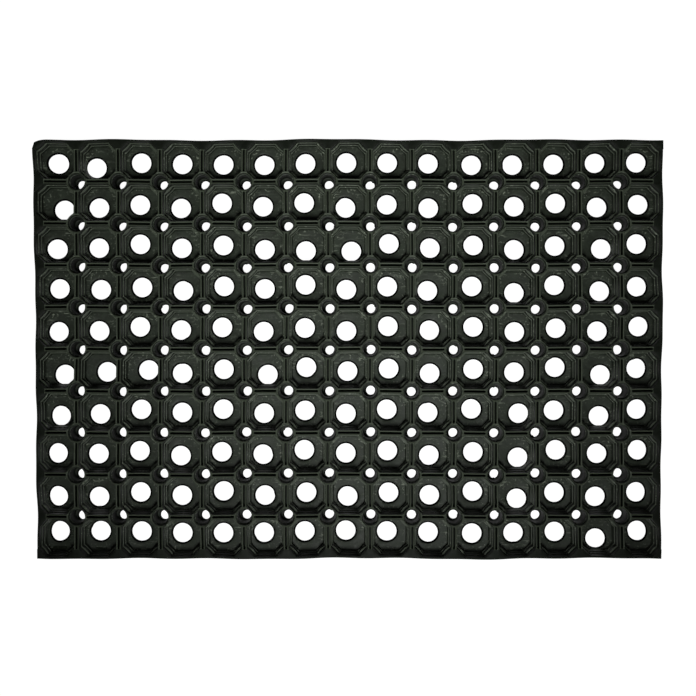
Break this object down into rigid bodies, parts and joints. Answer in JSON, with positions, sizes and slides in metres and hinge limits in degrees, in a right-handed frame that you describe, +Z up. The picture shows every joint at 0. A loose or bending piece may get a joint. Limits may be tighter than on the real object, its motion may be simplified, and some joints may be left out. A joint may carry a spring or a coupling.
{
  "type": "door mat",
  "caption": "Rectangular hollow-cell rubber scraper door mat with stepped octagonal wells, double ribs, hollow round studs and punched drain holes",
  "frame": {"origin": "middle of the underside, on the ground", "axes": "+X along the mat's length, +Y across it towards the back rim, +Z up out of the tread"},
  "size_m": [0.6, 0.4, 0.016],
  "materials": {
    "moulded_rubber": "black compression-moulded rubber, matt, with a faint dry bloom on the web and step edges"
  },
  "bodies": {
    "root": {"floor_row_01": "moulded_rubber", "floor_row_02": "moulded_rubber", "floor_row_03": "moulded_rubber", "floor_row_04": "moulded_rubber", "floor_row_05": "moulded_rubber", "floor_row_06": "moulded_rubber", "floor_row_07": "moulded_rubber", "floor_row_08": "moulded_rubber", "floor_row_09": "moulded_rubber", "floor_row_10": "moulded_rubber", "floor_row_11": "moulded_rubber", "long_rib_01": "moulded_rubber", "long_rib_02": "moulded_rubber", "long_rib_03": "moulded_rubber", "long_rib_04": "moulded_rubber", "long_rib_05": "moulded_rubber", "long_rib_06": "moulded_rubber", "long_rib_07": "moulded_rubber", "long_rib_08": "moulded_rubber", "long_rib_09": "moulded_rubber", "cross_rib_01": "moulded_rubber", "cross_rib_02": "moulded_rubber", "cross_rib_03": "moulded_rubber", "cross_rib_04": "moulded_rubber", "cross_rib_05": "moulded_rubber", "cross_rib_06": "moulded_rubber", "cross_rib_07": "moulded_rubber", "cross_rib_08": "moulded_rubber", "cross_rib_09": "moulded_rubber", "cross_rib_10": "moulded_rubber", "cross_rib_11": "moulded_rubber", "cross_rib_12": "moulded_rubber", "cross_rib_13": "moulded_rubber", "cross_rib_14": "moulded_rubber", "stud_row_01": "moulded_rubber", "stud_row_02": "moulded_rubber", "stud_row_03": "moulded_rubber", "stud_row_04": "moulded_rubber", "stud_row_05": "moulded_rubber", "stud_row_06": "moulded_rubber", "stud_row_07": "moulded_rubber", "stud_row_08": "moulded_rubber", "stud_row_09": "moulded_rubber", "rim_front": "moulded_rubber", "rim_back": "moulded_rubber", "rim_left": "moulded_rubber", "rim_right": "moulded_rubber"}
  },
  "joints": []
}
